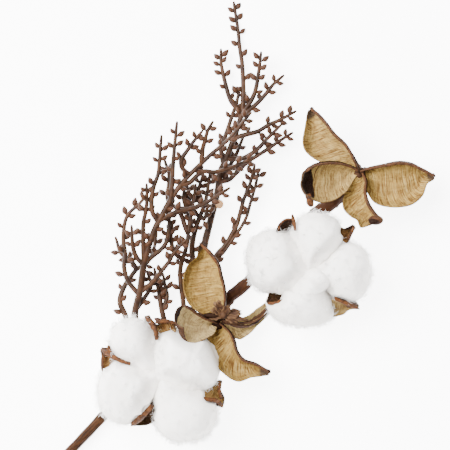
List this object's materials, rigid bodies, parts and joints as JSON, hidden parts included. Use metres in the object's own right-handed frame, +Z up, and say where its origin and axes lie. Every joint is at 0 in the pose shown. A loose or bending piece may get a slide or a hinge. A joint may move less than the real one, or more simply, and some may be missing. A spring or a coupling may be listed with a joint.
{
  "type": "cotton stem bunch",
  "caption": "Dried cotton pick lying down: a taped brown stem with open white cotton bolls, empty tan burrs and a spray of budded brown twigs.",
  "frame": {"origin": "middle of the bunch's outline on the table it lies on", "axes": "+Z up from the table, +Y along the table towards the top of the twig spray, +X along the table towards the outer empty burr"},
  "size_m": [0.22, 0.2634, 0.048],
  "materials": {
    "bark": "rough brown bark with a paper tape wrap",
    "twig": "satin chocolate brown",
    "cotton": "loose white fibre",
    "husk": "dry tan burr with a dark brown rim",
    "calyx": "torn dry brown membrane"
  },
  "bodies": {
    "root": {"stem": "bark", "twig_long": "twig", "twig_low": "twig", "twig_short": "twig", "twig_side": "twig", "twig_middle": "twig", "twig_tall": "twig", "twig_right": "twig", "boll_1_burr": "husk", "boll_2_burr": "husk", "husk_1_burr": "husk", "husk_2_burr": "husk", "husk_1_calyx": "calyx", "boll_1_lock_1": "cotton", "boll_1_lock_2": "cotton", "boll_1_lock_3": "cotton", "boll_1_lock_4": "cotton", "boll_2_lock_1": "cotton", "boll_2_lock_2": "cotton", "boll_2_lock_3": "cotton", "boll_2_lock_4": "cotton"}
  },
  "joints": []
}
